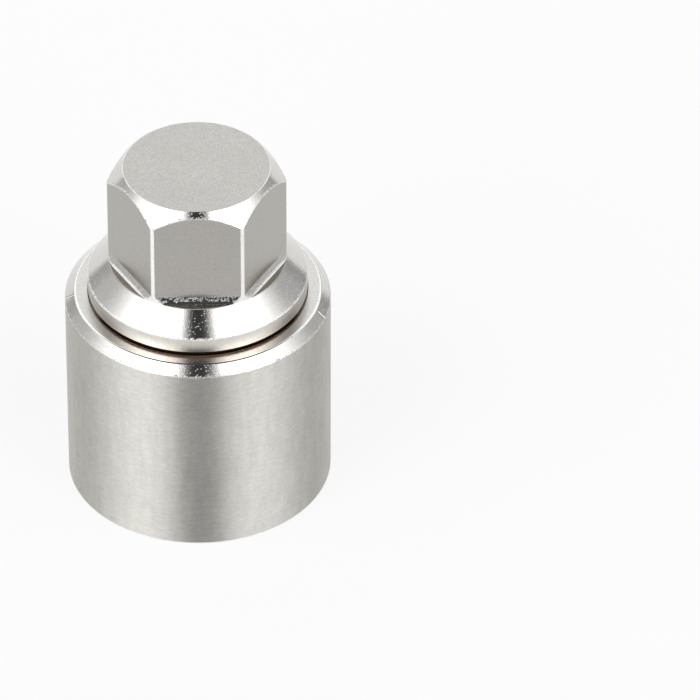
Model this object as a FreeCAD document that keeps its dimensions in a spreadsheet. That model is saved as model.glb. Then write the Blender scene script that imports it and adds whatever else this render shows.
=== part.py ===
import FreeCAD, Part
import math
import os
import Sketcher
from FreeCAD import Placement, Rotation, Vector

# Key for a locking wheel nut, standing on its open rim with the hexagon up.
# The origin is the centre of the rim plane, and +Z runs up the axis.

# Driving sizes in millimetres, degrees for the turn: alias, value, meaning
SIZES = (
    ("outer_diameter", 29.0, "outside of the sleeve"),
    ("sleeve_wall", 2.5, "wall of the sleeve, between its outside and its bore"),
    ("total_height", 41.0, "open rim to hexagon end"),
    ("sleeve_height", 24.5, "open rim to the sleeve's flat top"),
    ("sleeve_top_chamfer", 1.05, "45 degree chamfer round the sleeve's top"),
    ("mouth_chamfer", 0.5, "45 degree chamfer inside the open rim"),
    ("rim_break", 0.25, "broken outer edge of the open rim"),
    ("socket_depth", 12.2, "open rim to the insert's inner face"),
    ("insert_edge_chamfer", 0.4, "chamfer round the insert's inner face"),
    ("groove_height", 0.6, "gap seen between the sleeve's top and the flange"),
    ("groove_depth", 0.7, "how far the groove goes in under the flange"),
    ("groove_sink", 0.3, "how far the groove reaches below the sleeve's top"),
    ("flange_height", 1.6, "straight band above the groove"),
    ("hex_width", 17.0, "hexagon across its flats"),
    ("corner_trim", 0.23, "turned off the hexagon across its corners"),
    ("hex_foot_rise", 0.1, "round band left below the floors of the flats"),
    ("foot_slope_height", 0.7, "slope between each flat and its floor, measured along the axis"),
    ("foot_slope_width", 0.38, "the same slope, measured out from the flat"),
    ("end_chamfer_width", 1.7, "end chamfer, measured along the radius"),
    ("end_chamfer_height", 2.0, "end chamfer, measured along the axis"),
    ("key_height", 5.7, "key ring above the insert's inner face"),
    ("key_recess_depth", 4.7, "depth of the space inside the key ring"),
    ("key_wall", 1.7, "thickness of the key ring's wall"),
    ("key_edge_break", 0.15, "broken edges of the key ring's end face"),
    ("key_turn", 23.0, "turn of the first lobe from +X"),
    ("lobe_circle_diameter", 12.3, "circle through the lobes' centres"),
    ("lobe_inner_radius", 0.8, "inside radius at a lobe's tip"),
    ("valley_depth_one", 2.0, "lobe tips to the valley after lobe one"),
    ("valley_depth_two", 2.4, "the same after lobe two"),
    ("valley_depth_three", 2.15, "the same after lobe three"),
    ("valley_depth_four", 1.8, "the same after lobe four"),
    ("valley_depth_five", 2.55, "the same after lobe five"),
    ("valley_depth_six", 1.95, "the same after lobe six"),
    ("boss_diameter", 5.6, "round boss in the middle of the key ring"),
    ("boss_height", 1.4, "boss above the floor of the key ring"),
    ("boss_chamfer", 0.3, "chamfer round the boss"),
)
LOBE_COUNT = 6
LOBE_PITCH = 360.0 / LOBE_COUNT
VALLEYS = tuple("valley_depth_" + word for word in ("one", "two", "three", "four", "five", "six"))
HEX_SIDES = 6

# Heights and radii that both pieces or several features share, as expressions of the driving sizes
BORE_RADIUS = "(Sizes.outer_diameter / 2 - Sizes.sleeve_wall)"
CORNER_RADIUS = "(Sizes.hex_width / cos(30) - Sizes.corner_trim) / 2"
FLANGE_FOOT = "Sizes.sleeve_height + Sizes.groove_height"
FLANGE_TOP = FLANGE_FOOT + " + Sizes.flange_height"
CONE_TOP = FLANGE_TOP + " + " + BORE_RADIUS + " - " + CORNER_RADIUS
HEX_FOOT = CONE_TOP + " + Sizes.hex_foot_rise"
KEY_TIP = "Sizes.socket_depth - Sizes.key_height"
KEY_FLOOR = KEY_TIP + " + Sizes.key_recess_depth"


def make_sheet(doc):
    sheet = doc.addObject("Spreadsheet::Sheet", "Sizes")
    for row, (alias, value, meaning) in enumerate(SIZES, start=1):
        sheet.set(f"A{row}", meaning)
        sheet.set(f"B{row}", str(value))
        sheet.setAlias(f"B{row}", alias)
    doc.recompute()
    return sheet


def make_body(doc, label):
    body = doc.addObject("PartDesign::Body", label)
    body.Label = label
    body.Placement = Placement(Vector(0, 0, 0), Rotation())
    return body


def polar(radius, degrees):
    angle = math.radians(degrees)
    return Vector(radius * math.cos(angle), radius * math.sin(angle), 0)


def new_sketch(body, name, plane, height=None):
    # A sketch on one of the body's own planes, raised along its normal to a bound height
    sketch = body.newObject("Sketcher::SketchObject", name)
    support = next(item for item in body.Origin.OriginFeatures if item.Role == plane)
    sketch.AttachmentSupport = [(support, "")]
    sketch.MapMode = "FlatFace"
    if height is not None:
        sketch.setExpression("AttachmentOffset.Base.z", height)
    return sketch


def bind(sketch, constraint, expression):
    index = sketch.addConstraint(constraint)
    sketch.setExpression(f"Constraints[{index}]", expression)


def place_point(sketch, geometry, position, across, up):
    # Holds a point at a bound distance from each sketch axis, or on the axis itself where there is none
    now = sketch.getPoint(geometry, position)
    if across is None:
        sketch.addConstraint(Sketcher.Constraint("PointOnObject", geometry, position, -2))
    else:
        bind(sketch, Sketcher.Constraint("DistanceX", -1, 1, geometry, position, now.x), across)
    if up is None:
        sketch.addConstraint(Sketcher.Constraint("PointOnObject", geometry, position, -1))
    else:
        bind(sketch, Sketcher.Constraint("DistanceY", -1, 1, geometry, position, now.y), up)


def revolve_section(body, name, corners):
    # Turns a section about the axis; each corner is its radius and its height
    sketch = new_sketch(body, name + "Section", "XZ_Plane")
    count = len(corners)
    rough = [polar(1.0, 360.0 * i / count) + Vector(2, 0, 0) for i in range(count)]
    for i in range(count):
        sketch.addGeometry(Part.LineSegment(rough[i], rough[(i + 1) % count]))
    for i in range(count):
        sketch.addConstraint(Sketcher.Constraint("Coincident", i, 2, (i + 1) % count, 1))
    for i, (radius, height) in enumerate(corners):
        place_point(sketch, i, 1, radius, height)
    turned = body.newObject("PartDesign::Revolution", name)
    turned.Profile = sketch
    turned.ReferenceAxis = (sketch, ["V_Axis"])
    turned.Angle = 360.0
    return turned


def make_sleeve(doc):
    body = make_body(doc, "sleeve")
    outer = "Sizes.outer_diameter / 2"
    top = "Sizes.sleeve_height"
    revolve_section(body, "Tube", (
        (BORE_RADIUS + " + Sizes.mouth_chamfer", None),
        (outer + " - Sizes.rim_break", None),
        (outer, "Sizes.rim_break"),
        (outer, top + " - Sizes.sleeve_top_chamfer"),
        (outer + " - Sizes.sleeve_top_chamfer", top),
        (BORE_RADIUS, top),
        (BORE_RADIUS, "Sizes.mouth_chamfer"),
    ))
    return body


def turn_insert(body):
    groove_radius = BORE_RADIUS + " - Sizes.groove_depth"
    groove_foot = "Sizes.sleeve_height - Sizes.groove_sink"
    return revolve_section(body, "Plug", (
        (None, "Sizes.socket_depth"),
        (BORE_RADIUS + " - Sizes.insert_edge_chamfer", "Sizes.socket_depth"),
        (BORE_RADIUS, "Sizes.socket_depth + Sizes.insert_edge_chamfer"),
        (BORE_RADIUS, groove_foot),
        (groove_radius, groove_foot),
        (groove_radius, FLANGE_FOOT),
        (BORE_RADIUS, FLANGE_FOOT),
        (BORE_RADIUS, FLANGE_TOP),
        (CORNER_RADIUS, CONE_TOP),
        (CORNER_RADIUS, "Sizes.total_height - Sizes.end_chamfer_height"),
        (CORNER_RADIUS + " - Sizes.end_chamfer_width", "Sizes.total_height"),
        (None, "Sizes.total_height"),
    ))


def mill_hexagon(body, sizes):
    # The flats are cut from their floors to the end, outside a hexagon with one flat square to -Y
    sketch = new_sketch(body, "HexagonSketch", "XY_Plane", HEX_FOOT)
    sharp = sizes.hex_width / 2 / math.cos(math.radians(30))
    corners = [polar(sharp, i * 360.0 / HEX_SIDES) for i in range(HEX_SIDES)]
    for i in range(HEX_SIDES):
        sketch.addGeometry(Part.LineSegment(corners[i], corners[(i + 1) % HEX_SIDES]))
    guide = sketch.addGeometry(Part.Circle(Vector(0, 0, 0), Vector(0, 0, 1), sharp), True)
    rim = sketch.addGeometry(Part.Circle(Vector(0, 0, 0), Vector(0, 0, 1), sharp + 1))
    for i in range(HEX_SIDES):
        sketch.addConstraint(Sketcher.Constraint("Coincident", i, 2, (i + 1) % HEX_SIDES, 1))
        sketch.addConstraint(Sketcher.Constraint("PointOnObject", i, 1, guide))
    for i in range(1, HEX_SIDES):
        sketch.addConstraint(Sketcher.Constraint("Equal", 0, i))
    sketch.addConstraint(Sketcher.Constraint("PointOnObject", 0, 1, -1))
    for circle in (guide, rim):
        sketch.addConstraint(Sketcher.Constraint("Coincident", circle, 3, -1, 1))
    bind(sketch, Sketcher.Constraint("Radius", guide, sharp), "Sizes.hex_width / 2 / cos(30)")
    bind(sketch, Sketcher.Constraint("Radius", rim, sharp + 1), BORE_RADIUS)
    flats = body.newObject("PartDesign::Pocket", "HexagonFlats")
    flats.Profile = sketch
    flats.Type = "ThroughAll"
    flats.Reversed = True
    return flats


def arc_between(centre, start, end):
    # Counter-clockwise arc about a centre from one point to another
    first = math.atan2(start.y - centre.y, start.x - centre.x)
    last = math.atan2(end.y - centre.y, end.x - centre.x)
    circle = Part.Circle(centre, Vector(0, 0, 1), (start - centre).Length)
    return Part.ArcOfCircle(circle, first, last)


def key_outline(body, name, sizes, inner):
    # Closed wavy outline: lobes of one radius on one circle, and between each two a hollow arc through its
    # own valley point, tangent to both. The inner outline runs parallel to the outer one, a wall further in.
    sketch = new_sketch(body, name, "XY_Plane", KEY_TIP)
    wall = sizes.key_wall if inner else 0.0
    lobe_expression = "Sizes.lobe_inner_radius" if inner else "(Sizes.lobe_inner_radius + Sizes.key_wall)"
    circle_radius = sizes.lobe_circle_diameter / 2
    full_radius = sizes.lobe_inner_radius + sizes.key_wall
    lobe_radius = full_radius - wall
    half_pitch = math.radians(LOBE_PITCH / 2)
    half_chord = circle_radius * math.sin(half_pitch)
    lobe_turns = [sizes.key_turn + i * LOBE_PITCH for i in range(LOBE_COUNT)]
    valley_turns = [turn + LOBE_PITCH / 2 for turn in lobe_turns]
    centres = [polar(circle_radius, turn) for turn in lobe_turns]
    hollows = []
    valleys = []
    for alias, turn in zip(VALLEYS, valley_turns):
        reach = circle_radius + full_radius - sizes.get(alias)
        rise = reach - circle_radius * math.cos(half_pitch)
        radius = (rise ** 2 + half_chord ** 2 - full_radius ** 2) / (2 * (full_radius - rise))
        hollows.append(polar(reach + radius, turn))
        valleys.append(polar(reach - wall, turn))
    for i, centre in enumerate(centres):
        start = centre + (hollows[i - 1] - centre).normalize() * lobe_radius
        end = centre + (hollows[i] - centre).normalize() * lobe_radius
        sketch.addGeometry(arc_between(centre, start, end))
    for i, hollow in enumerate(hollows):
        following = centres[(i + 1) % LOBE_COUNT]
        start = following + (hollow - following).normalize() * lobe_radius
        end = centres[i] + (hollow - centres[i]).normalize() * lobe_radius
        sketch.addGeometry(arc_between(hollow, start, end))
    for i in range(LOBE_COUNT):
        turn = f"(Sizes.key_turn + {i * LOBE_PITCH})"
        reach = "Sizes.lobe_circle_diameter / 2"
        place_point(sketch, i, 3, f"{reach} * cos{turn}", f"{reach} * sin{turn}")
        bind(sketch, Sketcher.Constraint("Radius", i, lobe_radius), lobe_expression)
    for i, alias in enumerate(VALLEYS):
        hollow = LOBE_COUNT + i
        sketch.addConstraint(Sketcher.Constraint("Tangent", i, 2, hollow, 2))
        sketch.addConstraint(Sketcher.Constraint("Tangent", hollow, 1, (i + 1) % LOBE_COUNT, 1))
        turn = f"(Sizes.key_turn + {(i + 0.5) * LOBE_PITCH})"
        reach = f"(Sizes.lobe_circle_diameter / 2 + {lobe_expression} - Sizes.{alias})"
        point = sketch.addGeometry(Part.Point(valleys[i]), True)
        place_point(sketch, point, 1, f"{reach} * cos{turn}", f"{reach} * sin{turn}")
        sketch.addConstraint(Sketcher.Constraint("PointOnObject", point, 1, hollow))
    return sketch


def make_key_ring(body, sizes):
    ring = body.newObject("PartDesign::Pad", "KeyRing")
    ring.Profile = key_outline(body, "KeyOutline", sizes, inner=False)
    ring.setExpression("Length", "Sizes.key_height")
    recess = body.newObject("PartDesign::Pocket", "KeyRecess")
    recess.Profile = key_outline(body, "KeyInside", sizes, inner=True)
    recess.Reversed = True
    recess.setExpression("Length", "Sizes.key_recess_depth")


def make_boss(body):
    sketch = new_sketch(body, "BossSketch", "XY_Plane", KEY_FLOOR)
    circle = sketch.addGeometry(Part.Circle(Vector(0, 0, 0), Vector(0, 0, 1), 1.0))
    sketch.addConstraint(Sketcher.Constraint("Coincident", circle, 3, -1, 1))
    bind(sketch, Sketcher.Constraint("Radius", circle, 1.0), "Sizes.boss_diameter / 2")
    boss = body.newObject("PartDesign::Pad", "Boss")
    boss.Profile = sketch
    boss.Reversed = True
    boss.setExpression("Length", "Sizes.boss_height")
    return boss


def edges_at(base, height, straight=False):
    # Names of the base feature's edges that lie at one height: all of them, or the straight ones only
    names = []
    for number, edge in enumerate(base.Shape.Edges, start=1):
        box = edge.BoundBox
        level = abs(box.ZMin - height) < 1e-6 and abs(box.ZMax - height) < 1e-6
        if level and (isinstance(edge.Curve, Part.Line) or not straight):
            names.append(f"Edge{number}")
    return names


def chamfer_at(body, name, base, height, size):
    chamfer = body.newObject("PartDesign::Chamfer", name)
    chamfer.Base = (base, edges_at(base, height))
    chamfer.setExpression("Size", size)
    return chamfer


def slope_flat_feet(body, milled):
    feet = edges_at(milled, milled.Profile[0].Placement.Base.z, straight=True)
    if len(feet) != HEX_SIDES:
        raise RuntimeError("the hexagon has no straight foot for each flat")
    slopes = body.newObject("PartDesign::Chamfer", "FlatFeet")
    slopes.Base = (milled, feet)
    slopes.ChamferType = "Two distances"
    slopes.setExpression("Size", "Sizes.foot_slope_height")
    slopes.setExpression("Size2", "Sizes.foot_slope_width")
    return slopes


def make_insert(doc, sizes):
    body = make_body(doc, "key_insert")
    turned = turn_insert(body)
    doc.recompute()
    milled = mill_hexagon(body, sizes)
    doc.recompute()
    if milled.Shape.Volume >= turned.Shape.Volume:
        raise RuntimeError("the hexagon's flats cut nothing")
    slope_flat_feet(body, milled)
    doc.recompute()
    make_key_ring(body, sizes)
    boss = make_boss(body)
    doc.recompute()
    tip = sizes.socket_depth - sizes.key_height
    broken = chamfer_at(body, "KeyEdges", boss, tip, "Sizes.key_edge_break")
    doc.recompute()
    boss_end = tip + sizes.key_recess_depth - sizes.boss_height
    chamfer_at(body, "BossEdge", broken, boss_end, "Sizes.boss_chamfer")
    return body


def check(doc, bodies):
    for item in doc.Objects:
        if "Invalid" in item.State or "Error" in item.State:
            raise RuntimeError(f"{item.Label} failed: {item.State}")
    for body in bodies:
        shape = body.Shape
        if shape.isNull() or not shape.isValid() or len(shape.Solids) != 1:
            raise RuntimeError(f"{body.Label} isn't one valid solid")


def main():
    doc = FreeCAD.newDocument("locking_wheel_nut_key")
    sizes = make_sheet(doc)
    bodies = [make_sleeve(doc), make_insert(doc, sizes)]
    doc.recompute()
    check(doc, bodies)
    os.makedirs("parts", exist_ok=True)
    for body in bodies:
        body.Shape.exportStep(f"parts/{body.Label}.step")
        print(body.Label, round(body.Shape.Volume, 1), "mm3", body.Shape.BoundBox)


main()
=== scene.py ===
import math

import bmesh
import bpy
import numpy as np
from mathutils import Matrix, Vector

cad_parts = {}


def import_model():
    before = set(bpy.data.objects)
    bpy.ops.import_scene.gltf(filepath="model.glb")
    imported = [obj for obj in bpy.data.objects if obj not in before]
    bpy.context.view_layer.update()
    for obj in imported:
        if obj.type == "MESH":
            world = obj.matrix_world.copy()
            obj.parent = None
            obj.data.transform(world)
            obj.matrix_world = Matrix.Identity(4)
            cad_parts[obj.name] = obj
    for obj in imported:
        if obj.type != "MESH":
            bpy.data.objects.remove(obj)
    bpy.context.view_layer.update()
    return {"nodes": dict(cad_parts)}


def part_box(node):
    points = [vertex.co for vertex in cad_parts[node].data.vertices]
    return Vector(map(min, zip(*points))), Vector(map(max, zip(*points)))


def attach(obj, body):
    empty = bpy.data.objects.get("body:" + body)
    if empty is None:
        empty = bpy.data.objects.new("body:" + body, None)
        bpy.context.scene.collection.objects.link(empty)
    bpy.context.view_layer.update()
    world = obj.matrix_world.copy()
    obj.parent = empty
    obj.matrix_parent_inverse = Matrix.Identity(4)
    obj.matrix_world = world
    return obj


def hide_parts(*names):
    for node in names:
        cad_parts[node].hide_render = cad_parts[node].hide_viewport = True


# Key for a locking wheel nut, standing on its open rim: a satin sleeve pressed round an insert, which has
# a wavy key ring inside the sleeve and a hexagon above it. Lengths are in metres, and mm turns millimetres
# into them.
mm = 0.001
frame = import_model()
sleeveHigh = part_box("sleeve")[1]
insertLow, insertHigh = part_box("key_insert")
print("frame loaded:", sorted(frame["nodes"]))


# Surfaces

edgeRows = {
    "steps": 4,
    "longestTangent": 0.4,  # this and the next shares are of the neighbouring side's length
    "guard": 0.03 * mm,
    "guardShare": 0.09,
    "fade": 0.2 * mm,
    "fadeShare": 0.3,
    "nickSpread": 0.6,  # wear of the guard rows where the edge has nicks
}


def roundedRows(corners, rounds, wearAt, size):
    # Every corner of a profile with a round becomes an arc between its two tangent points, as the rational
    # curve (a(1-s)^2 + 2bws(1-s) + cs^2) / (the same with 1 for each point), w = cos(half the turn). A
    # guard row on each side keeps the shading of the long faces flat, and beyond it the wear fades out.
    # Wear is a pair, shine and nicks; without nicks it keeps to the arc. All columns are worked out at
    # once. Each row also says which corner's band starts there.
    rows, wear, belongs = [], [], []
    count = len(corners)
    tiny = 1e-12
    for k, point in enumerate(corners):
        shine, nicks = wearAt[k]
        if rounds[k] == 0:
            rows.append(point)
            wear.append((shine, nicks))
            belongs.append(k)
            continue
        inward = point - corners[k - 1]
        outward = corners[(k + 1) % count] - point
        lengthIn = np.linalg.norm(inward, axis=1, keepdims=True) + tiny
        lengthOut = np.linalg.norm(outward, axis=1, keepdims=True) + tiny
        inward = inward / lengthIn
        outward = outward / lengthOut
        cosTurn = np.clip((inward * outward).sum(axis=1, keepdims=True), -0.99, 1.0)
        tangent = rounds[k] * np.sqrt((1 - cosTurn) / (1 + cosTurn))
        tangent = np.minimum(tangent, size["longestTangent"] * np.minimum(lengthIn, lengthOut))
        weight = np.sqrt((1 + cosTurn) / 2)
        start = point - tangent * inward
        end = point + tangent * outward
        spread = size["nickSpread"] if np.any(nicks) else 0.0
        guardRow = (size["guard"], size["guardShare"], spread)
        fadeRow = (size["fade"], size["fadeShare"], 0.0)
        for distance, share, amount in (fadeRow, guardRow):
            rows.append(start - np.minimum(distance, share * lengthIn) * inward)
            wear.append((amount * shine, amount * nicks))
            belongs.append((k - 1) % count)
        for s in np.linspace(0, 1, size["steps"] + 1):
            a, b, c = (1 - s) ** 2, 2 * s * (1 - s) * weight, s ** 2
            rows.append((a * start + b * point + c * end) / (a + b + c))
            wear.append((shine, nicks))
            belongs.append(k)
        for distance, share, amount in (guardRow, fadeRow):
            rows.append(end + np.minimum(distance, share * lengthOut) * outward)
            wear.append((amount * shine, amount * nicks))
            belongs.append(k)
    return rows, wear, belongs


def wrapSurface(name, rows, wear, finishes, materials, closed):
    # Rows of points round the axis, joined to the next row and round to their own start; finishes gives the
    # number of the material of the band that starts at each row, one for all or one for each column. Poles
    # and folded bands close when doubles are merged.
    mergeWithin, dissolveUnder = 0.00005 * mm, 0.00001 * mm
    grid = np.stack(rows)
    rowCount, columnCount = grid.shape[:2]
    index = np.arange(rowCount * columnCount).reshape(rowCount, columnCount)
    first = index if closed else index[:-1]
    second = np.roll(index, -1, axis=0) if closed else index[1:]
    quads = np.stack([first, np.roll(first, -1, axis=1), np.roll(second, -1, axis=1), second], axis=-1)
    quads = quads.reshape(-1, 4)
    mesh = bpy.data.meshes.new(name)
    mesh.vertices.add(index.size)
    mesh.vertices.foreach_set("co", grid.astype(np.float32).ravel())
    mesh.loops.add(quads.size)
    mesh.loops.foreach_set("vertex_index", quads.astype(np.int32).ravel())
    mesh.polygons.add(len(quads))
    mesh.polygons.foreach_set("loop_start", np.arange(0, quads.size, 4, dtype=np.int32))
    finishGrid = np.stack([np.broadcast_to(finish, columnCount) for finish in finishes[:len(first)]])
    mesh.polygons.foreach_set("material_index", finishGrid.astype(np.int32).ravel())
    mesh.update(calc_edges=True)
    edge = mesh.attributes.new("edgeWear", "FLOAT_VECTOR", "POINT")
    wearPoints = np.zeros(grid.shape, np.float32)
    for k, pair in enumerate(wear):
        for part, amount in enumerate(pair):
            wearPoints[k, :, part] = amount
    edge.data.foreach_set("vector", wearPoints.ravel())
    form = bmesh.new()
    form.from_mesh(mesh)
    bmesh.ops.remove_doubles(form, verts=form.verts, dist=mergeWithin)
    bmesh.ops.dissolve_degenerate(form, edges=form.edges, dist=dissolveUnder)
    bmesh.ops.recalc_face_normals(form, faces=form.faces)
    form.to_mesh(mesh)
    form.free()
    mesh.polygons.foreach_set("use_smooth", np.ones(len(mesh.polygons), bool))
    for material in materials:
        mesh.materials.append(material)
    piece = bpy.data.objects.new(name, mesh)
    bpy.context.scene.collection.objects.link(piece)
    print(name, "faces", len(mesh.polygons))
    return piece


def ring(radius, height, angles):
    # x = radius cos angle, y = radius sin angle, at one height or one height for each angle
    heights = np.broadcast_to(height, angles.shape)
    return np.stack([radius * np.cos(angles), radius * np.sin(angles), heights], axis=-1)


# Shared effects

def effectGroup(name, inputs, outputs):
    group = bpy.data.node_groups.new(name, "ShaderNodeTree")
    for label, kind, value in inputs:
        socket = group.interface.new_socket(label, in_out="INPUT", socket_type="NodeSocket" + kind)
        if value is not None:
            socket.default_value = value
    for label, kind in outputs:
        group.interface.new_socket(label, in_out="OUTPUT", socket_type="NodeSocket" + kind)
    return group, group.nodes.new("NodeGroupInput").outputs, group.nodes.new("NodeGroupOutput").inputs


def addNode(tree, kind, settings=None, values=None):
    node = tree.nodes.new(kind)
    for key, value in (settings or {}).items():
        setattr(node, key, value)
    for key, value in (values or {}).items():
        if isinstance(value, bpy.types.NodeSocket):
            tree.links.new(value, node.inputs[key])
        else:
            node.inputs[key].default_value = value
    return node


def calculate(tree, operation, *values, clamp=False):
    settings = {"operation": operation, "use_clamp": clamp}
    return addNode(tree, "ShaderNodeMath", settings, dict(enumerate(values))).outputs[0]


def reckon(tree, operation, *vectors):
    # Vector arithmetic, which gives a vector, or one number for a length and for a dot product
    node = addNode(tree, "ShaderNodeVectorMath", {"operation": operation}, dict(enumerate(vectors)))
    return node.outputs["Value" if operation in ("LENGTH", "DOT_PRODUCT") else "Vector"]


def ramp(tree, value, start, end, low=0.0, high=1.0, smooth=True):
    # From low to high while the value goes from start to end, and level beyond them
    settings = {"interpolation_type": "SMOOTHSTEP" if smooth else "LINEAR"}
    return addNode(tree, "ShaderNodeMapRange", settings, {
        "Value": value, "From Min": start, "From Max": end, "To Min": low, "To Max": high}).outputs[0]


def noise(tree, point, scale, detail, roughness):
    return addNode(tree, "ShaderNodeTexNoise", None, {
        "Vector": point, "Scale": scale, "Detail": detail, "Roughness": roughness}).outputs["Fac"]


def mixColours(tree, share, first, second, blend="MIX"):
    return addNode(tree, "ShaderNodeMix", {"data_type": "RGBA", "blend_type": blend}, {
        "Factor": share, "A": first, "B": second}).outputs["Result"]


def split(tree, vector):
    return addNode(tree, "ShaderNodeSeparateXYZ", None, {"Vector": vector}).outputs


def join(tree, **parts):
    return addNode(tree, "ShaderNodeCombineXYZ", None, parts).outputs[0]


# Sizes of the patterns are cells to the metre: round the piece twice, then along its height
marksPattern = {
    "coarse": (800, 800, 4800),
    "fine": (1600, 1600, 14000),
    "lineDetail": 3.0,
    "lineRoughness": 0.62,
    "mottles": (1300, 1300, 260),
    "mottleDetail": 2.0,
    "mottleRoughness": 0.5,
    "mottleShade": 0.4,
    "shadeLift": 0.3,
}


def turningMarksGroup(pattern):
    # Fine lines round the axis: noise that is stretched round the piece and tight along its height
    group, given, made = effectGroup(
        "turningMarks",
        [("Point", "Vector", None), ("Coarse", "Float", 1.0), ("Fine", "Float", 1.0)],
        [("Height", "Float"), ("Shade", "Float")],
    )
    parts = []
    for size, share in ((pattern["coarse"], given["Coarse"]), (pattern["fine"], given["Fine"])):
        stretched = reckon(group, "MULTIPLY", given["Point"], size)
        lines = noise(group, stretched, 1.0, pattern["lineDetail"], pattern["lineRoughness"])
        parts.append(calculate(group, "MULTIPLY", calculate(group, "SUBTRACT", lines, 0.5), share))
    height = calculate(group, "ADD", *parts)
    group.links.new(height, made["Height"])
    stretched = reckon(group, "MULTIPLY", given["Point"], pattern["mottles"])
    mottles = noise(group, stretched, 1.0, pattern["mottleDetail"], pattern["mottleRoughness"])
    shade = calculate(group, "MULTIPLY_ADD", mottles, pattern["mottleShade"], height)
    group.links.new(calculate(group, "ADD", shade, pattern["shadeLift"], clamp=True), made["Shade"])
    return group


grainPattern = {
    "hillDetail": 2.5,
    "hillRoughness": 0.6,
    "speckCells": 0.7,  # cells for each hill
    "speckEdge": (0.08, 0.3),  # in cells
    "cloudSize": 160.0,
    "cloudDetail": 3.0,
    "cloudRoughness": 0.55,
}


def plateGrainGroup(pattern):
    # Grain of the plating: soft hills with a few small bright specks standing on them, and wide clouds
    group, given, made = effectGroup(
        "plateGrain",
        [("Point", "Vector", None), ("Size", "Float", 6500.0), ("Speck Share", "Float", 0.05),
         ("Hill Height", "Float", 1.0), ("Speck Height", "Float", 2.6)],
        [("Height", "Float"), ("Hills", "Float"), ("Specks", "Float"), ("Cloud", "Float")],
    )
    point = given["Point"]
    hills = noise(group, point, given["Size"], pattern["hillDetail"], pattern["hillRoughness"])
    cellScale = calculate(group, "MULTIPLY", given["Size"], pattern["speckCells"])
    cells = addNode(group, "ShaderNodeTexVoronoi", {"feature": "F1"}, {
        "Vector": point, "Scale": cellScale}).outputs
    around = ramp(group, cells["Distance"], *pattern["speckEdge"])
    lot = addNode(group, "ShaderNodeSeparateColor", None, {"Color": cells["Color"]}).outputs[0]
    chosen = calculate(group, "LESS_THAN", lot, given["Speck Share"])
    specks = calculate(group, "MULTIPLY", calculate(group, "SUBTRACT", 1.0, around), chosen)
    height = calculate(group, "MULTIPLY", hills, given["Hill Height"])
    height = calculate(group, "MULTIPLY_ADD", specks, given["Speck Height"], height)
    cloud = noise(group, point, pattern["cloudSize"], pattern["cloudDetail"], pattern["cloudRoughness"])
    group.links.new(height, made["Height"])
    group.links.new(calculate(group, "SUBTRACT", hills, 0.5), made["Hills"])
    group.links.new(specks, made["Specks"])
    group.links.new(cloud, made["Cloud"])
    return group


edgePattern = {
    "breakSize": 3400.0,
    "breakDetail": 3.0,
    "breakRoughness": 0.7,
    "shineBand": (0.35, 0.65),
    "nickBand": (0.52, 0.6),
}


def wornEdgeGroup(pattern):
    # The piece's own edge attribute, broken up by noise, so that edges are burnished here and nicked there
    group, given, made = effectGroup(
        "wornEdge",
        [("Edge", "Vector", None), ("Point", "Vector", None), ("Nicks", "Float", 0.5)],
        [("Shine", "Float"), ("Nick Height", "Float")],
    )
    breaks = noise(group, given["Point"], pattern["breakSize"],
                   pattern["breakDetail"], pattern["breakRoughness"])
    shine = ramp(group, breaks, *pattern["shineBand"], smooth=False)
    nicks = ramp(group, breaks, *pattern["nickBand"], high=given["Nicks"])
    edge = split(group, given["Edge"])
    group.links.new(calculate(group, "MULTIPLY", shine, edge["X"], clamp=True), made["Shine"])
    group.links.new(calculate(group, "MULTIPLY", nicks, edge["Y"]), made["Nick Height"])
    return group


grooveShadingPattern = {
    "radius": 12.0 * mm,
    "height": 24.8 * mm,
    "near": 0.3 * mm,
    "far": 0.6 * mm,
    "streakTurn": (55, 55, 55),  # cells to the radian round the piece
    "streakRun": 500.0,  # cells to the metre outwards and upwards
    "streakDetail": 3.0,
    "streakRoughness": 0.6,
    "streakShift": 0.6 * mm,  # how far a full streak moves the edge of the painted shading
}


def grooveShadingGroup(pattern):
    # How near a point lies to the groove's mouth, by the distance from a circle inside it, where painted
    # shading is mixed in; fine streaks that run square to the piece's edges; and how far to the side a
    # point lies, from 0 to 1
    group, given, made = effectGroup(
        "grooveShading",
        [("Point", "Vector", None), ("Radius", "Float", pattern["radius"]),
         ("Height", "Float", pattern["height"]), ("Near", "Float", pattern["near"]),
         ("Far", "Float", pattern["far"])],
        [("Mouth Shading", "Float"), ("Streaks", "Float"), ("Sideways", "Float")],
    )
    parts = split(group, given["Point"])
    outward = join(group, X=parts["X"], Y=parts["Y"])
    radius = reckon(group, "LENGTH", outward)
    heading = reckon(group, "NORMALIZE", outward)
    along = calculate(group, "MULTIPLY", calculate(group, "ADD", radius, parts["Z"]), pattern["streakRun"])
    turned = reckon(group, "MULTIPLY", heading, pattern["streakTurn"])
    place = reckon(group, "ADD", turned, join(group, Z=along))
    streaks = noise(group, place, 1.0, pattern["streakDetail"], pattern["streakRoughness"])
    streaks = calculate(group, "SUBTRACT", streaks, 0.5)
    fromCircle = join(group, X=calculate(group, "SUBTRACT", radius, given["Radius"]),
                      Y=calculate(group, "SUBTRACT", parts["Z"], given["Height"]))
    distance = reckon(group, "LENGTH", fromCircle)
    distance = calculate(group, "MULTIPLY_ADD", streaks, pattern["streakShift"], distance)
    clean = ramp(group, distance, given["Near"], given["Far"])
    group.links.new(calculate(group, "SUBTRACT", 1.0, clean), made["Mouth Shading"])
    group.links.new(streaks, made["Streaks"])
    group.links.new(calculate(group, "ABSOLUTE", split(group, heading)["X"]), made["Sideways"])
    return group


turningMarks = turningMarksGroup(marksPattern)
plateGrain = plateGrainGroup(grainPattern)
wornEdge = wornEdgeGroup(edgePattern)
grooveShading = grooveShadingGroup(grooveShadingPattern)


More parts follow.
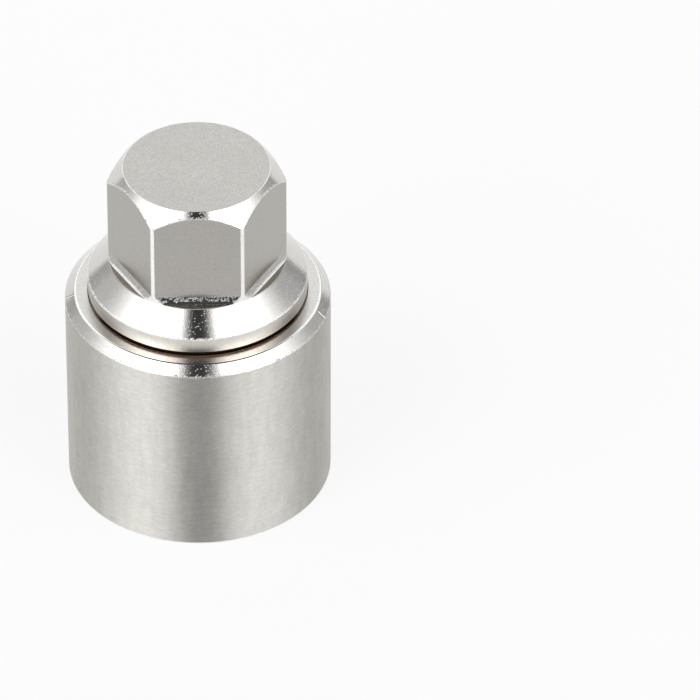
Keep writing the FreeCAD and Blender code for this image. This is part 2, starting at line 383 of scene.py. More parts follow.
def scratched(tree, point, start, end, look, colour, height):
    # A straight scratch between two points of the plan, with a painted highlight in its middle and painted
    # shade along both sides
    length = math.dist(start, end) * mm
    wayX, wayY = ((last - first) * mm / length for first, last in zip(start, end))
    moved = reckon(tree, "SUBTRACT", point, (start[0] * mm, start[1] * mm, 0))
    along = reckon(tree, "DOT_PRODUCT", moved, (wayX, wayY, 0))
    away = calculate(tree, "ABSOLUTE", reckon(tree, "DOT_PRODUCT", moved, (-wayY, wayX, 0)))
    reached = calculate(tree, "COMPARE", along, length / 2, length / 2)
    for (inner, outer), paint, depth in (
            (look["scratchSides"], look["scratchPaintedShade"], 0.0),
            (look["scratchMiddle"], look["scratchPaintedHighlight"], look["scratchDepth"])):
        line = ramp(tree, away, inner, outer, 1.0, 0.0)
        line = calculate(tree, "MULTIPLY", line, reached)
        colour = mixColours(tree, line, colour, paint)
        height = calculate(tree, "MULTIPLY_ADD", line, -depth, height)
    return colour, height


plating = {
    "speckRise": 2.6,  # height of a speck for each unit of the hills' own height
    "cloudBand": (0.3, 0.7),  # between these the clouds change the roughness
    "burnishing": 0.4,  # share of the roughness that a burnished edge loses
    "heightUnit": 0.01 * mm,
    "brushTurn": 0.25,
}


def platedMetal(name, look):
    # One recipe for every finish of the plating; look holds what differs between them
    material = bpy.data.materials.new(name)
    material.use_nodes = True
    tree = material.node_tree
    shader = tree.nodes["Principled BSDF"].inputs
    shader["Metallic"].default_value = 1.0
    point = tree.nodes.new("ShaderNodeTexCoord").outputs["Object"]
    marks = addNode(tree, "ShaderNodeGroup", {"node_tree": turningMarks}, {
        "Point": point, "Coarse": look["coarseMarks"], "Fine": look["fineMarks"]}).outputs
    grain = addNode(tree, "ShaderNodeGroup", {"node_tree": plateGrain}, {
        "Point": point, "Size": look["grainSize"], "Speck Share": look["specks"],
        "Hill Height": look["grainHeight"],
        "Speck Height": look.get("speckHeight", plating["speckRise"] * look["grainHeight"])}).outputs
    edge = addNode(tree, "ShaderNodeAttribute", {"attribute_name": "edgeWear"}).outputs["Vector"]
    rubbed = addNode(tree, "ShaderNodeGroup", {"node_tree": wornEdge}, {
        "Edge": edge, "Point": point, "Nicks": look["nicks"]}).outputs

    tone = ramp(tree, marks["Shade"], 0.0, 1.0, 1 - look["markShade"], 1 + look["markShade"], smooth=False)
    tone = calculate(tree, "MULTIPLY_ADD", grain["Hills"], look["grainShade"], tone)
    colour = mixColours(tree, grain["Cloud"], look["colour"], look["cloudColour"])
    # Painted shading: one colour is mixed in near the groove's mouth and another towards the sides, for how
    # light and shade fall there; the streaks are the metal's own tone
    if "mouthShadingColour" in look:
        byGroove = addNode(tree, "ShaderNodeGroup", {"node_tree": grooveShading}, {
            "Point": point, "Far": look["mouthShadingReach"]}).outputs
        tone = calculate(tree, "MULTIPLY_ADD", byGroove["Streaks"], look["streakShade"], tone)
        colour = mixColours(tree, byGroove["Mouth Shading"], colour, look["mouthShadingColour"])
        # Towards the sides the colour turns to a painted shading for what the sides reflect
        sides = (math.sin(math.radians(turn)) for turn in look["sideTurns"])
        colour = mixColours(tree, ramp(tree, byGroove["Sideways"], *sides), colour, look["paintedSideShading"])
    colour = mixColours(tree, 1.0, colour, tone, blend="MULTIPLY")
    bare = calculate(tree, "MULTIPLY", grain["Specks"], look["speckShine"])
    bare = calculate(tree, "MAXIMUM", rubbed["Shine"], bare)
    colour = mixColours(tree, bare, colour, look["edgeColour"])

    least, most = look["roughness"] - look["roughSpread"], look["roughness"] + look["roughSpread"]
    rough = ramp(tree, grain["Cloud"], *plating["cloudBand"], least, most, smooth=False)
    kept = calculate(tree, "MULTIPLY_ADD", rubbed["Shine"], -plating["burnishing"], 1.0)
    tree.links.new(calculate(tree, "MULTIPLY", rough, kept, clamp=True), shader["Roughness"])

    lines = calculate(tree, "MULTIPLY", marks["Height"], look["markHeight"])
    height = calculate(tree, "ADD", grain["Height"], lines)
    height = calculate(tree, "ADD", height, rubbed["Nick Height"])
    for start, end in look.get("scratches", ()):
        colour, height = scratched(tree, point, start, end, look, colour, height)
    tree.links.new(colour, shader["Base Color"])
    bump = addNode(tree, "ShaderNodeBump", None, {
        "Strength": 1.0, "Distance": plating["heightUnit"], "Height": height})
    tree.links.new(bump.outputs["Normal"], shader["Normal"])
    if "brushed" in look:
        # The brushing runs round the axis, along (-y, x, 0), and spreads reflections a quarter turn from it
        shader["Anisotropic"].default_value = look["brushed"]
        shader["Anisotropic Rotation"].default_value = plating["brushTurn"]
        parts = split(tree, point)
        around = join(tree, X=calculate(tree, "MULTIPLY", parts["Y"], -1.0), Y=parts["X"])
        tree.links.new(around, shader["Tangent"])
    return material


# Finishes of the nickel plating, and painted shadow and light in the groove. Heights are in hundredths of a
# millimetre, sideTurns in degrees to each side of the front and the back, and grainSize in hills to the
# metre.
satinTurned = platedMetal("satinTurned", {
    "colour": (0.552, 0.54, 0.507, 1), "cloudColour": (0.592, 0.58, 0.548, 1),
    "edgeColour": (0.85, 0.84, 0.82, 1),
    "roughness": 0.49, "roughSpread": 0.03, "brushed": 1.0, "coarseMarks": 0.65, "fineMarks": 0.35,
    "markShade": 0.26, "markHeight": 0.3, "grainSize": 4200.0, "grainHeight": 0.15, "grainShade": 0.28,
    "specks": 0.05, "speckShine": 0.5, "nicks": 3.0,
})
milledFlat = platedMetal("milledFlat", {
    "colour": (0.405, 0.390, 0.360, 1), "cloudColour": (0.43, 0.417, 0.39, 1),
    "edgeColour": (0.75, 0.73, 0.70, 1),
    "roughness": 0.27, "roughSpread": 0.02, "coarseMarks": 0.3, "fineMarks": 0.6,
    "markShade": 0.05, "markHeight": 0.05, "grainSize": 7500.0, "grainHeight": 0.12, "grainShade": 0.4,
    "specks": 0.015, "speckShine": 0.15, "nicks": 1.0,
})
endFace = platedMetal("endFace", {
    "colour": (0.62, 0.611, 0.581, 1), "cloudColour": (0.65, 0.641, 0.611, 1),
    "edgeColour": (0.9, 0.89, 0.87, 1),
    "roughness": 0.38, "roughSpread": 0.03, "coarseMarks": 0.0, "fineMarks": 0.0,
    "markShade": 0.0, "markHeight": 0.0, "grainSize": 6500.0, "grainHeight": 0.6, "grainShade": 0.8,
    "specks": 0.03, "speckShine": 0.35, "nicks": 1.0,
})
brightLook = {
    "colour": (0.64, 0.63, 0.605, 1), "cloudColour": (0.67, 0.66, 0.64, 1),
    "edgeColour": (0.9, 0.89, 0.87, 1),
    "roughness": 0.04, "roughSpread": 0.01, "coarseMarks": 0.3, "fineMarks": 0.4,
    "markShade": 0.03, "markHeight": 0.15, "grainSize": 7400.0, "grainHeight": 0.66, "grainShade": 0.2,
    "specks": 0.45, "speckShine": 0.12, "speckHeight": 1.3, "nicks": 7.0,
}
brightTurned = platedMetal("brightTurned", brightLook)
turnedChamfer = platedMetal("turnedChamfer", {
    **brightLook, "coarseMarks": 1.0, "markHeight": 0.6,
    # The scratches' light middles are painted highlights and their dark sides painted shade
    "scratchMiddle": (0.03 * mm, 0.1 * mm), "scratchSides": (0.1 * mm, 0.22 * mm), "scratchDepth": 4.0,
    "scratchPaintedHighlight": (0.98, 0.97, 0.95, 1), "scratchPaintedShade": (0.25, 0.245, 0.235, 1),
    "scratches": (((-13.40, -1.17), (-14.52, -0.43)), ((13.04, -4.24), (13.79, -4.48))),
})
cornerStrip = platedMetal("cornerStrip", {
    "colour": (0.70, 0.688, 0.66, 1), "cloudColour": (0.78, 0.77, 0.75, 1),
    "edgeColour": (0.85, 0.83, 0.80, 1),
    "roughness": 0.42, "roughSpread": 0.04, "brushed": 1.0, "coarseMarks": 0.6, "fineMarks": 0.5,
    "markShade": 0.08, "markHeight": 0.3, "grainSize": 5200.0, "grainHeight": 0.5, "grainShade": 0.2,
    "specks": 0.03, "speckShine": 0.2, "nicks": 2.0,
})
warmTurned = platedMetal("warmTurned", {
    "colour": (0.60, 0.575, 0.54, 1), "cloudColour": (0.66, 0.64, 0.61, 1),
    "edgeColour": (0.85, 0.83, 0.80, 1),
    "roughness": 0.34, "roughSpread": 0.04, "brushed": 0.7, "coarseMarks": 0.5, "fineMarks": 0.5,
    "markShade": 0.06, "markHeight": 0.3, "grainSize": 6500.0, "grainHeight": 0.7, "grainShade": 0.15,
    "specks": 0.03, "speckShine": 0.2, "nicks": 2.0,
})
milledFoot = platedMetal("milledFoot", {
    "colour": (0.42, 0.385, 0.345, 1), "cloudColour": (0.48, 0.445, 0.405, 1),
    "edgeColour": (0.85, 0.83, 0.80, 1),
    "roughness": 0.2, "roughSpread": 0.03, "coarseMarks": 0.5, "fineMarks": 0.5,
    "markShade": 0.05, "markHeight": 0.6, "grainSize": 7000.0, "grainHeight": 1.2, "grainShade": 0.15,
    "specks": 0.08, "speckShine": 0.3, "nicks": 2.0,
})
footSlope = platedMetal("footSlope", {
    "colour": (0.43, 0.427, 0.41, 1), "cloudColour": (0.47, 0.466, 0.448, 1),
    "edgeColour": (0.98, 0.97, 0.95, 1),
    "roughness": 0.12, "roughSpread": 0.03, "coarseMarks": 0.5, "fineMarks": 0.5,
    "markShade": 0.05, "markHeight": 0.4, "grainSize": 5500.0, "grainHeight": 0.8, "grainShade": 0.15,
    "specks": 0.15, "speckShine": 0.6, "nicks": 4.0,
})
# The ring is painted darker and browner towards the groove's mouth, as painted shade and reflection of the
# groove, and lighter at the sides as painted reflection
sleeveRing = platedMetal("sleeveRing", {
    "colour": (0.64, 0.615, 0.575, 1), "cloudColour": (0.67, 0.645, 0.605, 1),
    "edgeColour": (0.95, 0.94, 0.92, 1),
    "roughness": 0.18, "roughSpread": 0.02, "brushed": 0.85, "coarseMarks": 0.4, "fineMarks": 0.4,
    "markShade": 0.05, "markHeight": 0.1, "grainSize": 6500.0, "grainHeight": 0.2, "grainShade": 0.5,
    "specks": 0.03, "speckShine": 0.4, "nicks": 1.0,
    "mouthShadingColour": (0.61, 0.51, 0.43, 1), "mouthShadingReach": 0.45 * mm, "streakShade": 0.08,
    "sideTurns": (30, 65), "paintedSideShading": (0.66, 0.655, 0.635, 1),
})
# The band is painted darker and browner at the sides, as painted shade and reflection of the ring, and a
# little lighter by the groove
flangeBand = platedMetal("flangeBand", {
    "colour": (0.65, 0.62, 0.575, 1), "cloudColour": (0.69, 0.665, 0.625, 1),
    "edgeColour": (0.88, 0.87, 0.85, 1),
    "roughness": 0.24, "roughSpread": 0.02, "brushed": 0.85, "coarseMarks": 0.5, "fineMarks": 0.5,
    "markShade": 0.08, "markHeight": 0.3, "grainSize": 7500.0, "grainHeight": 0.4, "grainShade": 0.3,
    "specks": 0.04, "speckShine": 0.3, "nicks": 1.5,
    "mouthShadingColour": (0.68, 0.65, 0.60, 1), "mouthShadingReach": 0.5 * mm, "streakShade": 0.15,
    "sideTurns": (32, 62), "paintedSideShading": (0.46, 0.425, 0.385, 1),
})
# The groove's upper wall is painted dark brown as painted shade, lighter towards the mouth and at the sides
# where light reaches in
paintedShadeBrownGroove = platedMetal("paintedShadeBrownGroove", {
    "colour": (0.20, 0.12, 0.08, 1), "cloudColour": (0.26, 0.16, 0.11, 1),
    "edgeColour": (0.7, 0.55, 0.45, 1),
    "roughness": 0.5, "roughSpread": 0.04, "coarseMarks": 0.5, "fineMarks": 0.5,
    "markShade": 0.05, "markHeight": 0.3, "grainSize": 6500.0, "grainHeight": 0.9, "grainShade": 0.2,
    "specks": 0.0, "speckShine": 0.0, "nicks": 0.0,
    "mouthShadingColour": (0.66, 0.49, 0.37, 1), "mouthShadingReach": 0.45 * mm, "streakShade": 0.3,
    "sideTurns": (60, 76), "paintedSideShading": (0.62, 0.56, 0.50, 1),
})
# The groove's deep part is painted near black as painted shadow, lighter at the sides where light reaches
# in
paintedShadowGroove = platedMetal("paintedShadowGroove", {
    "colour": (0.050, 0.028, 0.018, 1), "cloudColour": (0.070, 0.040, 0.027, 1),
    "edgeColour": (0.1, 0.08, 0.07, 1),
    "roughness": 0.5, "roughSpread": 0.04, "coarseMarks": 0.5, "fineMarks": 0.5,
    "markShade": 0.05, "markHeight": 0.3, "grainSize": 6500.0, "grainHeight": 0.9, "grainShade": 0.1,
    "specks": 0.0, "speckShine": 0.0, "nicks": 0.0,
    "mouthShadingColour": (0.05, 0.038, 0.030, 1), "mouthShadingReach": 0.4 * mm, "streakShade": 0.1,
    "sideTurns": (60, 76), "paintedSideShading": (0.45, 0.40, 0.35, 1),
})
print("finishes made")


# Wear of an edge: how far it is burnished, and how far it is nicked
plain, softened, worn, polished = (0.0, 0.0), (0.3, 0.2), (0.9, 0.9), (6.0, 0.0)
chipped, lined = (0.0, 0.8), (3.0, 0.4)


# Sleeve

sleeve = {
    "outerRadius": sleeveHigh.x,
    "boreRadius": insertHigh.x,
    "height": sleeveHigh.z,
    "topChamfer": 1.05 * mm,
    "mouthChamfer": 0.5 * mm,
    "rimBreak": 0.25 * mm,
    "topRound": 0.32 * mm,
    "rimRound": 0.09 * mm,
    "edgeRound": 0.05 * mm,
    "paintedShadowDepth": 0.3 * mm,
    "columns": 384,
    "footShine": 0.25,  # wear of the chamfer's lower edge, with deeper dents at a few turns
    "footNicks": 0.275,
    "dentNicks": 1.6,
    "dentTurns": ((-38, 3), (-3, 8), (9, 5), (39, 4)),  # degrees from the front, and their spread
}


def makeSleeve(size):
    # A closed profile turned about the axis, from the rim up the outside, over the top and down the bore
    outer, bore, top = size["outerRadius"], size["boreRadius"], size["height"]
    angles = np.linspace(0, 2 * math.pi, size["columns"], endpoint=False)
    turns = np.degrees(np.angle(np.exp(1j * (angles + math.pi / 2))))
    dents = sum(np.exp(-((turns - turn) / width) ** 2) for turn, width in size["dentTurns"])
    dented = (size["footShine"], size["footNicks"] + size["dentNicks"] * dents)
    profile = (
        (bore + size["mouthChamfer"], 0.0, "edgeRound", worn, brightTurned),
        (outer - size["rimBreak"], 0.0, "edgeRound", worn, brightTurned),
        (outer, size["rimBreak"], "rimRound", polished, satinTurned),
        (outer, top - size["topChamfer"], "edgeRound", dented, turnedChamfer),
        (outer - size["topChamfer"], top, "topRound", polished, sleeveRing),
        # The bore's top band, the groove's outer wall, is painted near black as painted shadow
        (bore, top, "edgeRound", plain, paintedShadowGroove),
        (bore, top - size["paintedShadowDepth"], "edgeRound", plain, warmTurned),
        (bore, size["mouthChamfer"], "edgeRound", worn, brightTurned),
    )
    radii, heights, edges, wearAt, looks = zip(*profile)
    corners = [ring(radius, height, angles) for radius, height in zip(radii, heights)]
    rows, wear, belongs = roundedRows(corners, [size[edge] for edge in edges], wearAt, edgeRows)
    materials = [satinTurned, brightTurned, turnedChamfer, sleeveRing, warmTurned, paintedShadowGroove]
    finishes = [materials.index(looks[k]) for k in belongs]
    piece = wrapSurface("sleeveSkin", rows, wear, finishes, materials, closed=True)
    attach(piece, "root")
    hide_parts("sleeve")


makeSleeve(sleeve)


# Insert with the key ring and the hexagon

hexWidth = 17.0 * mm
cornerTurned = 0.23 * mm  # what the turned corners take off the full width across corners
insert = {
    "bodyRadius": insertHigh.x,
    "faceHeight": 12.2 * mm,
    "faceChamfer": 0.4 * mm,
    "grooveFoot": sleeveHigh.z - sleeve["paintedShadowDepth"],
    "grooveBrown": sleeveHigh.z + 0.17 * mm,
    "grooveTop": sleeveHigh.z + 0.42 * mm,
    "grooveDepth": 0.35 * mm,
    "flangeHeight": 1.78 * mm,
    "hexWidth": hexWidth,
    "cornerRadius": (hexWidth / math.cos(math.radians(30)) - cornerTurned) / 2,
    "hexFootRise": 0.1 * mm,
    "footSlopeWidth": 0.38 * mm,
    "footSlopeHeight": 0.7 * mm,
    "footLineRound": 0.45 * mm,
    "faceRound": 0.1 * mm,
    "footSteps": 6,
    "footStart": 0.5,  # share of the slope's height at which its rows begin, above the foot's round
    "endChamferWidth": 1.7 * mm,
    "endChamferHeight": 2.0 * mm,
    "top": insertHigh.z,
    "edgeRound": 0.05 * mm,
    "cornerBlend": 0.03 * mm,
    "cornerReach": 0.045 * mm,  # columns this near to the turned corners belong to them
    "flatColumns": 60,
    "stripColumns": 20,
}
keyRing = {
    "lobes": 6,
    "tip": insertLow.z,
    "recessDepth": 4.7 * mm,
    "wall": 1.7 * mm,
    "edgeBreak": 0.15 * mm,
    "turn": 23.0,  # degrees from +X to the first lobe
    "lobeCircle": 12.3 / 2 * mm,
    "lobeInnerRadius": 0.8 * mm,
    "valleyDepths": (2.0, 2.4, 2.15, 1.8, 2.55, 1.95),
    "bossRadius": 2.8 * mm,
    "bossHeight": 1.4 * mm,
    "bossChamfer": 0.3 * mm,
    "footRound": 0.15 * mm,
}


def keyLine(size, away, pointsPerArc):
    # The ring's inner outline moved outwards by a distance: lobe arcs of one radius about centres on a
    # circle, and between them hollow arcs about centres further out, each tangent to both of its lobes.
    # Moving the line changes only the radii, so the lines at all distances run parallel.
    full = size["lobeInnerRadius"] + size["wall"]
    lobes = size["lobes"]
    half = math.pi / lobes
    turns = math.radians(size["turn"]) + np.arange(lobes) * 2 * half
    centres = size["lobeCircle"] * np.stack([np.cos(turns), np.sin(turns)], axis=-1)
    reach = size["lobeCircle"] + full - np.array(size["valleyDepths"]) * mm
    rise = reach - size["lobeCircle"] * math.cos(half)
    chord = size["lobeCircle"] * math.sin(half)
    hollowRadius = (rise ** 2 + chord ** 2 - full ** 2) / (2 * (full - rise))
    hollowTurns = turns + half
    headings = np.stack([np.cos(hollowTurns), np.sin(hollowTurns)], axis=-1)
    hollows = (reach + hollowRadius)[:, None] * headings
    share = (np.arange(pointsPerArc) + 0.5) / pointsPerArc
    pieces = []
    for k in range(lobes):
        before = hollows[k - 1] - centres[k]
        after = hollows[k] - centres[k]
        first = math.atan2(before[1], before[0])
        sweep = (math.atan2(after[1], after[0]) - first) % (2 * math.pi)
        angle = first + sweep * share
        lobeRadius = size["lobeInnerRadius"] + away
        pieces.append(centres[k] + lobeRadius * np.stack([np.cos(angle), np.sin(angle)], axis=-1))
        toLobe = centres[k] - hollows[k]
        toNext = centres[(k + 1) % lobes] - hollows[k]
        first = math.atan2(toLobe[1], toLobe[0])
        sweep = (math.atan2(toNext[1], toNext[0]) - first + math.pi) % (2 * math.pi) - math.pi
        angle = first + sweep * share
        radius = hollowRadius[k] + size["wall"] - away
        pieces.append(hollows[k] + radius * np.stack([np.cos(angle), np.sin(angle)], axis=-1))
    return np.concatenate(pieces)


def hexColumns(size):
    # Angles round the axis for one flat and one corner strip at a time, closer together near the strips;
    # flats lie square to -Y and every sixth of a turn from there
    sixth = math.pi / 3
    halfFlat = math.acos(size["hexWidth"] / 2 / size["cornerRadius"])
    flat = halfFlat * np.sin(np.linspace(-0.5, 0.5, size["flatColumns"], endpoint=False) * math.pi)
    strip = np.linspace(halfFlat, sixth - halfFlat, size["stripColumns"], endpoint=False)
    sector = np.concatenate([flat, strip])
    middles = -math.pi / 2 + np.arange(6) * sixth
    return (middles[:, None] + sector[None, :]).ravel()


def hexRadius(size, angles, away=0.0):
    # The lesser of the turned corner and the distance along the ray to the flat, or to a line parallel to
    # it and further out, eased into each other
    sixth = math.pi / 3
    fromFlat = (angles + math.pi / 2 + sixth / 2) % sixth - sixth / 2
    flat = (size["hexWidth"] / 2 + away) / np.cos(fromFlat)
    blend = size["cornerBlend"]
    ease = np.clip(0.5 + 0.5 * (size["cornerRadius"] - flat) / blend, 0, 1)
    return size["cornerRadius"] + (flat - size["cornerRadius"]) * ease - blend * ease * (1 - ease)


def makeInsert(size, key):
    # Rows from the boss outwards over the key ring, up the body and the hexagon, and in to the end's middle
    angles = hexColumns(size)
    pointsPerArc = len(angles) // (2 * key["lobes"])
    body, corner, top = size["bodyRadius"], size["cornerRadius"], size["top"]
    floor = key["tip"] + key["recessDepth"]
    bossSide, bossTop = key["bossRadius"], floor - key["bossHeight"]

    def keyRow(away, height):
        line = keyLine(key, away, pointsPerArc)
        return np.column_stack([line, np.full(len(line), height)])

    # The hexagon's columns start at the one that lies nearest to the key line's first point
    firstPoint = keyLine(key, key["wall"], pointsPerArc)[0]
    apart = np.angle(np.exp(1j * (angles - math.atan2(firstPoint[1], firstPoint[0]))))
    angles = np.roll(angles, -int(np.argmin(abs(apart))))
    neck = body - size["grooveDepth"]
    flangeTop = size["grooveTop"] + size["flangeHeight"]
    coneTop = flangeTop + body - corner
    hexFloor = coneTop + size["hexFootRise"]
    hexSide = hexRadius(size, angles)
    slopeSide = hexRadius(size, angles, size["footSlopeWidth"])
    chamferFoot = top - size["endChamferHeight"]
    faceRadius = corner - size["endChamferWidth"]
    chamferStart = chamferFoot + (corner - hexSide) * size["endChamferHeight"] / size["endChamferWidth"]
    fine, none = size["edgeRound"], 0.0
    materials = [milledFlat, brightTurned, warmTurned, endFace, cornerStrip, milledFoot, footSlope,
                 flangeBand, paintedShadeBrownGroove, paintedShadowGroove]

    def milled(material, side):
        # The columns that reach the turned corners keep the corners' own finish
        onCorner = side > corner - size["cornerReach"]
        return np.where(onCorner, materials.index(cornerStrip), materials.index(material))

    profile = [
        (ring(0.0, bossTop, angles), none, plain, brightTurned),
        (ring(bossSide - key["bossChamfer"], bossTop, angles), fine, worn, brightTurned),
        (ring(bossSide, bossTop + key["bossChamfer"], angles), fine, softened, brightTurned),
        (ring(bossSide, floor, angles), key["footRound"], plain, brightTurned),
        (keyRow(0.0, floor), key["footRound"], plain, brightTurned),
        (keyRow(0.0, key["tip"] + key["edgeBreak"]), fine, softened, brightTurned),
        (keyRow(key["edgeBreak"], key["tip"]), fine, worn, endFace),
        (keyRow(key["wall"] - key["edgeBreak"], key["tip"]), fine, worn, brightTurned),
        (keyRow(key["wall"], key["tip"] + key["edgeBreak"]), fine, softened, brightTurned),
        (keyRow(key["wall"], size["faceHeight"]), key["footRound"], plain, warmTurned),
        (ring(body - size["faceChamfer"], size["faceHeight"], angles), fine, softened, warmTurned),
        (ring(body, size["faceHeight"] + size["faceChamfer"], angles), fine, plain, warmTurned),
        # The groove under the flange, whose walls carry painted shadow
        (ring(body, size["grooveFoot"], angles), fine, plain, paintedShadowGroove),
        (ring(neck, size["grooveFoot"], angles), fine, plain, paintedShadowGroove),
        (ring(neck, size["grooveBrown"], angles), none, plain, paintedShadeBrownGroove),
        (ring(neck, size["grooveTop"], angles), fine, plain, paintedShadeBrownGroove),
        (ring(body, size["grooveTop"], angles), fine, softened, flangeBand),
        (ring(body, flangeTop, angles), fine, lined, brightTurned),
        (ring(corner, coneTop, angles), fine, plain, milled(milledFoot, slopeSide)),
        (ring(corner, hexFloor, angles), fine, softened, milled(milledFoot, slopeSide)),
        (ring(slopeSide, hexFloor, angles), size["footLineRound"], polished, milled(footSlope, slopeSide)),
    ]
    for share in np.linspace(size["footStart"], 1, size["footSteps"], endpoint=False):
        side = hexRadius(size, angles, size["footSlopeWidth"] * (1 - share))
        height = hexFloor + size["footSlopeHeight"] * share
        profile.append((ring(side, height, angles), none, chipped, milled(footSlope, side)))
    flatFoot = hexFloor + size["footSlopeHeight"]
    profile += [
        (ring(hexSide, flatFoot, angles), fine, softened, milled(milledFlat, hexSide)),
        (ring(hexSide, chamferStart, angles), fine, worn, brightTurned),
        (ring(faceRadius, top, angles), size["faceRound"], polished, endFace),
        (ring(0.0, top, angles), none, plain, endFace),
    ]
    corners, rounds, wearAt, looks = zip(*profile)
    rows, wear, belongs = roundedRows(corners, rounds, wearAt, edgeRows)
    numbers = [look if isinstance(look, np.ndarray) else materials.index(look) for look in looks]
    finishes = [numbers[k] for k in belongs]
    piece = wrapSurface("insertSkin", rows, wear, finishes, materials, closed=False)
    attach(piece, "root")
    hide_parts("key_insert")


makeInsert(insert, keyRing)


# Floor, light and camera

# Angles in degrees; a pair is where a soft edge starts and ends. Lights are shares of plain white.
studio = {
    "floorSide": 6.0,
    "floorColour": (0.84, 0.84, 0.835, 1),
    "floorLift": 0.83,  # how white the floor shows in the picture and in reflections
    "roomLight": 0.38,
    "wallLight": 0.6,
    "wallSide": (70, 140),
    "gapDepth": 0.94,
    "gapSide": (8, 31),
    "gapFoot": (2, 18),
    "gapTop": (68, 80),
    "softboxLight": 1.75,
    "softboxCoreLight": 0.65,
    "softboxCoreSide": (30, 50),
    "softboxFarSide": (40, 110),
    "softboxTop": (50, 62),
    "backLight": 0.7,
    "backLightSide": (112, 134),
    "backLightFoot": (10, 26),
    "backLightTop": (46, 58),
    "ceilingShade": 0.9,
    "ceilingFoot": (50, 66),
    "leftShare": 0.09,
    "wallFoot": (2.5, 2.9),
    "wallFootLight": 1.0,
}


def makeFloor(values):
    half = values["floorSide"] / 2
    mesh = bpy.data.meshes.new("studioFloor")
    corners = [(-half, -half, 0), (half, -half, 0), (half, half, 0), (-half, half, 0)]
    mesh.from_pydata(corners, [], [(0, 1, 2, 3)])
    floor = bpy.data.objects.new("studioFloor", mesh)
    bpy.context.scene.collection.objects.link(floor)
    material = bpy.data.materials.new("paleFloor")
    material.use_nodes = True
    tree = material.node_tree
    tree.nodes.remove(tree.nodes["Principled BSDF"])
    paint = addNode(tree, "ShaderNodeBsdfDiffuse", None, {"Color": values["floorColour"]})
    glow = addNode(tree, "ShaderNodeEmission", None, {"Color": (1, 1, 1, 1), "Strength": 1.0})
    path = tree.nodes.new("ShaderNodeLightPath")
    seen = calculate(tree, "MAXIMUM", path.outputs["Is Camera Ray"], path.outputs["Is Glossy Ray"])
    seen = calculate(tree, "MAXIMUM", seen, path.outputs["Is Transmission Ray"])
    share = calculate(tree, "MULTIPLY", seen, values["floorLift"])
    mixed = addNode(tree, "ShaderNodeMixShader", None, {0: share})
    tree.links.new(paint.outputs[0], mixed.inputs[1])
    tree.links.new(glow.outputs[0], mixed.inputs[2])
    tree.links.new(mixed.outputs[0], tree.nodes["Material Output"].inputs["Surface"])
    mesh.materials.append(material)


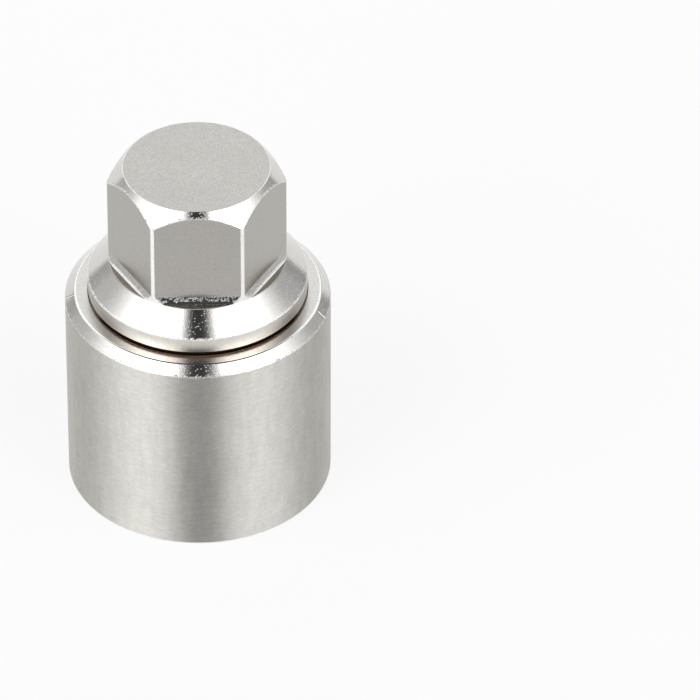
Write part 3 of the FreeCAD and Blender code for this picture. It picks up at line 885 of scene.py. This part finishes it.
def makeRoom(values):
    # Light by direction: an unlit gap on the front side, a tall softbox at each side of it, plain walls
    # with a white foot that carries on the floor, a light high at the back and a dim ceiling, all a
    # little stronger at the left. Azimuth runs from the front, -Y (0), to the back (180).
    world = bpy.data.worlds.new("studioRoom")
    bpy.context.scene.world = world
    world.use_nodes = True
    tree = world.node_tree
    direction = tree.nodes.new("ShaderNodeTexCoord").outputs["Generated"]
    parts = split(tree, direction)
    sideways = calculate(tree, "ABSOLUTE", parts["X"])
    azimuth = calculate(tree, "ARCTAN2", sideways, calculate(tree, "MULTIPLY", parts["Y"], -1.0))
    elevation = calculate(tree, "ARCSINE", parts["Z"])

    def beyond(angle, limits):
        return ramp(tree, angle, *map(math.radians, limits))

    def before(angle, limits):
        return calculate(tree, "SUBTRACT", 1.0, beyond(angle, limits))

    gap = calculate(tree, "MULTIPLY", before(azimuth, values["gapSide"]),
                    before(elevation, values["gapTop"]))
    gap = calculate(tree, "MULTIPLY", gap, beyond(elevation, values["gapFoot"]))
    softbox = calculate(tree, "MULTIPLY", beyond(azimuth, values["gapSide"]), values["softboxLight"])
    softbox = calculate(tree, "MULTIPLY_ADD", beyond(azimuth, values["softboxCoreSide"]),
                        values["softboxCoreLight"], softbox)
    softbox = calculate(tree, "MULTIPLY", softbox, before(azimuth, values["softboxFarSide"]))
    softbox = calculate(tree, "MULTIPLY", softbox, before(elevation, values["softboxTop"]))
    back = calculate(tree, "MULTIPLY", beyond(azimuth, values["backLightSide"]),
                     beyond(elevation, values["backLightFoot"]))
    back = calculate(tree, "MULTIPLY", back, before(elevation, values["backLightTop"]))
    strength = ramp(tree, azimuth, *map(math.radians, values["wallSide"]),
                    values["roomLight"] + values["wallLight"], values["roomLight"], smooth=False)
    for part, depth in ((beyond(elevation, values["ceilingFoot"]), values["ceilingShade"]),
                        (gap, values["gapDepth"])):
        shade = calculate(tree, "MULTIPLY_ADD", part, -depth, 1.0)
        strength = calculate(tree, "MULTIPLY", strength, shade)
    strength = calculate(tree, "ADD", strength, softbox)
    strength = calculate(tree, "MULTIPLY_ADD", back, values["backLight"], strength)
    leftward = calculate(tree, "MULTIPLY_ADD", parts["X"], -values["leftShare"], 1.0)
    strength = calculate(tree, "MULTIPLY", strength, leftward)
    foot = before(elevation, values["wallFoot"])
    strength = addNode(tree, "ShaderNodeMix", None, {
        "Factor": foot, "A": strength, "B": values["wallFootLight"]}).outputs[0]
    background = tree.nodes["Background"]
    background.inputs["Color"].default_value = (1, 1, 1, 1)
    tree.links.new(strength, background.inputs["Strength"])


shot = {
    "distance": 0.900,
    "aimHeight": 0.020,
    "elevation": 38.392,
    "tilt": 38.606,
    "roll": -0.688,
    "focalPixels": 8228.8,
    "axisColumn": 198.57,
    "imageSide": 700,
    "sensorWidth": 36,
    "nearest": 0.05,
    "farthest": 20,
}


def makeCamera(values):
    # The camera stands on the -Y side and looks down at the object, rolled a little, and turned to the
    # right so that the object stands left of the picture's centre
    elevation, tilt, roll = (math.radians(values[key]) for key in ("elevation", "tilt", "roll"))
    back = Vector((0, -math.cos(tilt), math.sin(tilt)))
    level = Vector((1, 0, 0))
    rise = back.cross(level)
    across = level * math.cos(roll) + rise * math.sin(roll)
    up = rise * math.cos(roll) - level * math.sin(roll)
    swing = math.atan((values["imageSide"] / 2 - values["axisColumn"]) / values["focalPixels"])
    turnedAcross = across * math.cos(swing) + back * math.sin(swing)
    turnedBack = back * math.cos(swing) - across * math.sin(swing)
    data = bpy.data.cameras.new("shotCamera")
    data.sensor_width = values["sensorWidth"]
    data.lens = values["focalPixels"] * data.sensor_width / values["imageSide"]
    data.clip_start, data.clip_end = values["nearest"], values["farthest"]
    camera = bpy.data.objects.new("shotCamera", data)
    aim = Vector((0, 0, values["aimHeight"]))
    place = Vector((0, -math.cos(elevation), math.sin(elevation))) * values["distance"] + aim
    facing = Matrix((turnedAcross, up, turnedBack)).transposed().to_4x4()
    camera.matrix_world = Matrix.Translation(place) @ facing
    bpy.context.scene.collection.objects.link(camera)
    bpy.context.scene.camera = camera


makeFloor(studio)
makeRoom(studio)
makeCamera(shot)
bpy.context.scene.view_settings.view_transform = "Standard"
print("studio made")
